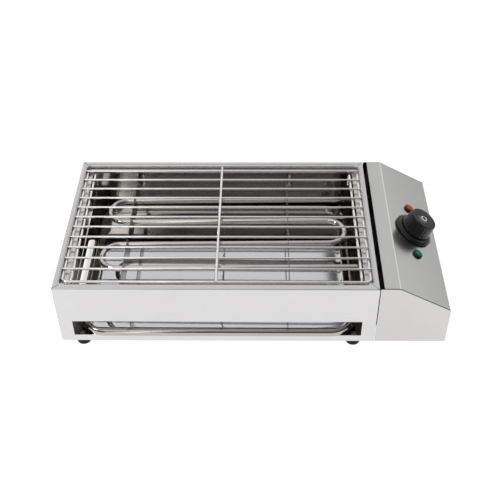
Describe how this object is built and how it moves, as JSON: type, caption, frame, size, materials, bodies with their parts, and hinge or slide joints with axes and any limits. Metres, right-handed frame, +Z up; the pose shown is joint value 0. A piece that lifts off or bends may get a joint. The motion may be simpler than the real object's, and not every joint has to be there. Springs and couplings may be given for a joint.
{
  "type": "electric grill",
  "caption": "Open-top tabletop electric grill: steel body with lift-off wire grate over a tube heater, slide-out drip tray, and a side control box with knob and two lamps.",
  "frame": {"origin": "centre of the whole part's footprint box, on the surface that the feet stand on", "axes": "+X along the length towards the control box, +Y from the front slot to the back, +Z up"},
  "size_m": [0.5314, 0.288, 0.1234],
  "materials": {
    "panel_steel": "satin stainless sheet",
    "control_steel": "satin stainless sheet, brushed along its length",
    "zinc_steel": "dull zinc-plated steel",
    "mirror_steel": "mirror-polished stainless sheet",
    "grate_chrome": "bright chrome-plated wire",
    "heater_steel": "warm grey heater tube steel",
    "brass": "plain turned brass",
    "knob_black": "black moulded plastic, fine satin",
    "lens_orange": "glossy clear-coloured plastic",
    "lens_green": "glossy clear-coloured plastic",
    "ceramic": "off-white glazed",
    "wire_sleeve": "heat-proof sleeve, matt",
    "rubber": "dark moulded rubber"
  },
  "bodies": {
    "housing": {"front_panel": "panel_steel", "back_panel": "panel_steel", "left_panel": "panel_steel", "right_panel": "panel_steel", "grate_rest": "panel_steel", "control_front_plate": "panel_steel", "control_back_plate": "panel_steel", "control_cover": "control_steel", "bottom_plate": "zinc_steel", "tray_rail_left": "zinc_steel", "tray_rail_right": "zinc_steel", "control_inner_wall": "zinc_steel", "control_base": "zinc_steel", "box_spacer_front": "zinc_steel", "box_spacer_back": "zinc_steel", "box_screw_front": "zinc_steel", "box_screw_back": "zinc_steel", "box_nut_front": "zinc_steel", "box_nut_back": "zinc_steel", "thermostat_nut": "zinc_steel", "sensor_clip": "zinc_steel", "heater_terminal_front": "zinc_steel", "heater_terminal_back": "zinc_steel", "bracket_rivet_left_lower": "zinc_steel", "bracket_rivet_left_upper": "zinc_steel", "bracket_rivet_right_lower": "zinc_steel", "bracket_rivet_right_upper": "zinc_steel", "foot_screw_front_left": "zinc_steel", "foot_screw_back_left": "zinc_steel", "foot_screw_front_right": "zinc_steel", "foot_screw_back_right": "zinc_steel", "heating_element": "heater_steel", "heater_bracket_left": "heater_steel", "heater_bracket_right": "heater_steel", "heater_bushing_front": "brass", "heater_bushing_back": "brass", "heater_nut_front": "brass", "heater_nut_back": "brass", "sensor_bulb": "brass", "lamp_holder_orange": "knob_black", "lamp_holder_green": "knob_black", "lamp_lens_orange": "lens_orange", "lamp_lens_green": "lens_green", "thermostat_body": "ceramic", "terminal_block": "ceramic", "lamp_wire_orange": "wire_sleeve", "lamp_wire_green": "wire_sleeve", "heater_wire_front": "wire_sleeve", "heater_wire_back": "wire_sleeve", "thermostat_wire": "wire_sleeve", "foot_front_left": "rubber", "foot_back_left": "rubber", "foot_front_right": "rubber", "foot_back_right": "rubber", "cord_gland": "rubber"},
    "grate": {"grate": "grate_chrome"},
    "tray": {"drip_tray": "mirror_steel"},
    "dial": {"knob": "knob_black", "thermostat_shaft": "zinc_steel"}
  },
  "joints": [
    {"name": "grate_lift", "type": "slide", "parent": "housing", "child": "grate", "axis": [0, 0, 1], "range_m": [0, 0.06]},
    {"name": "tray_slide", "type": "slide", "parent": "housing", "child": "tray", "axis": [0, -1, 0], "range_m": [0, 0.29]},
    {"name": "knob_turn", "type": "hinge", "parent": "housing", "child": "dial", "pos_m": [0.23, -0.002, 0.09], "axis": [-0.4882, 0, -0.8727], "range_deg": [0, 270]}
  ]
}
